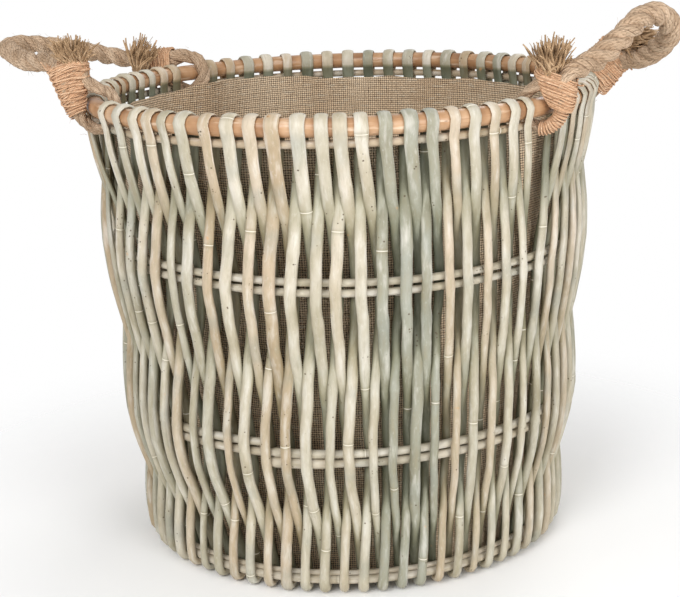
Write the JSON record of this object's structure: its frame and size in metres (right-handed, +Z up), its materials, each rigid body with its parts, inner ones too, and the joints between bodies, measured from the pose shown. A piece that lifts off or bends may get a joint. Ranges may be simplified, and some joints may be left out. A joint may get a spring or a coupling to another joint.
{
  "type": "willow log basket",
  "caption": "Round tapered log basket of willow rods folded over a thick top hoop, with a sackcloth liner and rope handles that swing on the hoop.",
  "frame": {"origin": "centre of the underside of the base, on the ground", "axes": "+Z up, -Y is the front, the rope handles are on the -X and +X sides"},
  "size_m": [0.6726, 0.5014, 0.5147],
  "materials": {
    "willow": "grey-washed peeled willow, matt",
    "tan_willow": "tan willow, satin",
    "sackcloth": "coarse plain weave",
    "rope": "laid natural-fibre rope",
    "twine": "tight wound twine"
  },
  "bodies": {
    "basket": {"top_hoop": "tan_willow", "mid_hoop_upper": "willow", "mid_hoop_lower": "willow", "low_hoop_upper": "willow", "low_hoop_lower": "willow", "foot_hoop_main": "willow", "foot_hoop_thin": "willow", "under_rim_front": "willow", "under_rim_back": "willow", "under_rim_left": "willow", "under_rim_right": "willow", "willow_pair_01": "willow", "willow_pair_02": "willow", "willow_pair_03": "willow", "willow_pair_04": "willow", "willow_pair_05": "willow", "willow_pair_06": "willow", "willow_pair_07": "willow", "willow_pair_08": "willow", "willow_pair_09": "willow", "willow_pair_10": "willow", "willow_pair_11": "willow", "willow_pair_12": "willow", "willow_pair_13": "willow", "willow_pair_14": "willow", "willow_pair_15": "willow", "willow_pair_16": "willow", "willow_pair_17": "willow", "willow_pair_18": "willow", "willow_pair_19": "willow", "willow_pair_20": "willow", "willow_pair_21": "willow", "willow_pair_22": "willow", "willow_pair_23": "willow", "willow_pair_24": "willow", "willow_pair_25": "willow", "willow_pair_26": "willow", "willow_pair_27": "willow", "willow_pair_28": "willow", "willow_pair_29": "willow", "willow_pair_30": "willow", "willow_pair_31": "willow", "willow_pair_32": "willow", "woven_base": "willow", "liner": "sackcloth"},
    "left_handle": {"left_rope": "rope", "left_rear_whipping": "twine", "left_front_whipping": "twine"},
    "right_handle": {"right_rope": "rope", "right_front_whipping": "twine", "right_rear_whipping": "twine"}
  },
  "joints": [
    {"name": "left_handle_swing", "type": "hinge", "parent": "basket", "child": "left_handle", "pos_m": [-0.19793, 0, 0.434], "axis": [0, 1, 0], "range_deg": [-45, 95]},
    {"name": "right_handle_swing", "type": "hinge", "parent": "basket", "child": "right_handle", "pos_m": [0.21719, -0.02667, 0.434], "axis": [-0.1219, -0.9925, 0], "range_deg": [-75, 90]}
  ]
}
